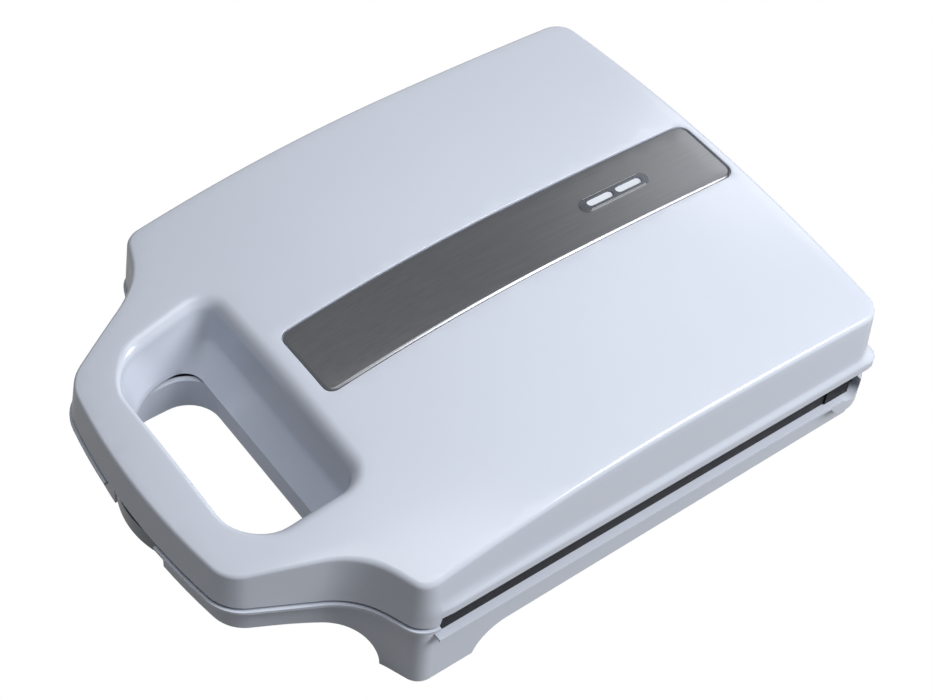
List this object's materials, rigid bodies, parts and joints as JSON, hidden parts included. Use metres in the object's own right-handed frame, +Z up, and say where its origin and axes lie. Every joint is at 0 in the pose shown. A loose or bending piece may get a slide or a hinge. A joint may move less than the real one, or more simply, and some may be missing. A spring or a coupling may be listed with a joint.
{
  "type": "donut maker",
  "caption": "Clamshell donut maker: crowned hinged lid and low base with ring-mould plates, a through handle at the front and a press-down latch.",
  "frame": {"origin": "on the table, under the middle of the appliance's outer box", "axes": "+X to the right seen from the handle, +Y from the handle to the hinge, +Z up"},
  "size_m": [0.2158, 0.291, 0.0871],
  "materials": {
    "housing_white": "smooth moulded gloss, cool white",
    "frame_black": "heat-resistant plastic, fine satin grain",
    "nonstick": "black non-stick coating, satin",
    "element_steel": "dull oxidised tube",
    "reflector_steel": "aluminised sheet, dull",
    "screw_steel": "zinc plated",
    "lead_sleeve": "glass-fibre sleeve",
    "terminal_plastic": "natural thermoplastic",
    "strip_steel": "brushed along its length, dark satin",
    "bezel_grey": "clear over silver, gloss",
    "lens_clear": "clear moulded lens",
    "lamp_glass": "clear glass envelope",
    "ceramic_cream": "unglazed steatite",
    "bushing_rubber": "moulded, matt",
    "foot_rubber": "moulded, matt",
    "latch_grey": "smooth moulded blue-grey"
  },
  "bodies": {
    "base": {"lower_housing": "housing_white", "lower_frame": "frame_black", "lower_plate": "nonstick", "lower_element": "element_steel", "lower_reflector": "reflector_steel", "lower_frame_screws": "screw_steel", "lower_plate_screws": "screw_steel", "lower_leads": "lead_sleeve", "thermostat": "ceramic_cream", "thermal_fuse": "ceramic_cream", "terminal_block": "terminal_plastic", "cord_bushing": "bushing_rubber", "base_ears": "housing_white", "hinge_pins": "screw_steel", "rubber_feet": "foot_rubber", "latch_pin": "screw_steel", "latch_spring": "screw_steel"},
    "lid": {"upper_housing": "housing_white", "upper_frame": "frame_black", "upper_plate": "nonstick", "upper_element": "element_steel", "upper_reflector": "reflector_steel", "upper_frame_screws": "screw_steel", "upper_plate_screws": "screw_steel", "upper_leads": "lead_sleeve", "lid_connector": "terminal_plastic", "trim_strip": "strip_steel", "lamp_bezel": "bezel_grey", "power_lens": "lens_clear", "ready_lens": "lens_clear", "power_lamp": "lamp_glass", "ready_lamp": "lamp_glass", "lamp_holder": "terminal_plastic", "lid_catch": "screw_steel", "lid_knuckles": "housing_white"},
    "latch": {"latch_clip": "latch_grey"}
  },
  "joints": [
    {"name": "lid_hinge", "type": "hinge", "parent": "base", "child": "lid", "pos_m": [0, 0.1403, 0.045], "axis": [-1, 0, 0], "range_deg": [0, 100]},
    {"name": "latch_pivot", "type": "hinge", "parent": "base", "child": "latch", "pos_m": [0, -0.1336, 0.031], "axis": [1, 0, 0], "range_deg": [-5, 12], "stiffness_Nm_per_rad": 0.05}
  ]
}
